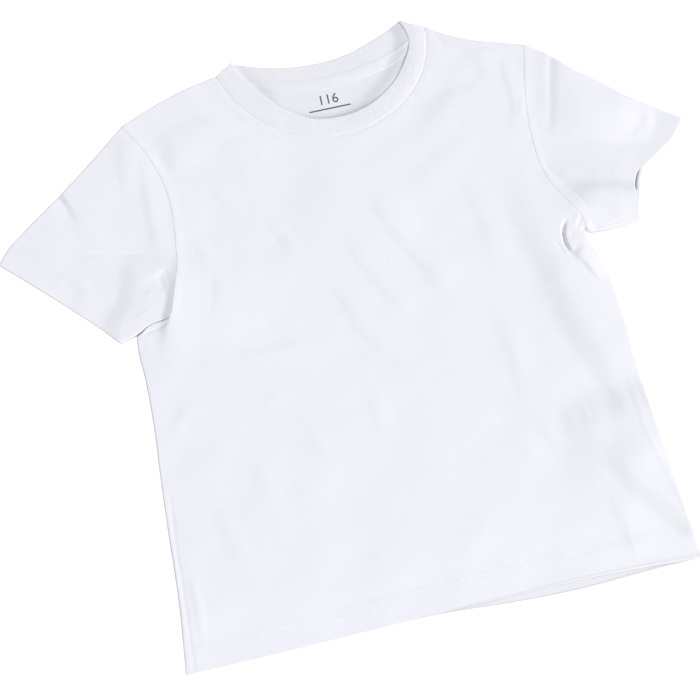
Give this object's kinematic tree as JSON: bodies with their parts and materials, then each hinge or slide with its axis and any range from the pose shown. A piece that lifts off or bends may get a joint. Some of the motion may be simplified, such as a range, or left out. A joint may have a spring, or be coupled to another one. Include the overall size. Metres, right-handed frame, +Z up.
{
  "type": "crew neck t-shirt",
  "caption": "Short-sleeved crew neck t-shirt for a child, laid flat on its back with natural creases; clothing for display, folding or printing scenes.",
  "frame": {"origin": "middle of the garment's underside, on the surface it lies on", "axes": "+X towards the wearer's left sleeve, +Y from hem to neck, +Z up, away from the surface"},
  "size_m": [0.5576, 0.475, 0.0102],
  "materials": {
    "white_jersey": "matte cotton single jersey",
    "white_rib": "matte cotton 1x1 rib"
  },
  "bodies": {
    "root": {"front_panel": "white_jersey", "back_panel": "white_jersey", "sleeve_left": "white_jersey", "sleeve_right": "white_jersey", "neckband": "white_rib", "neck_tape": "white_jersey"}
  },
  "joints": []
}
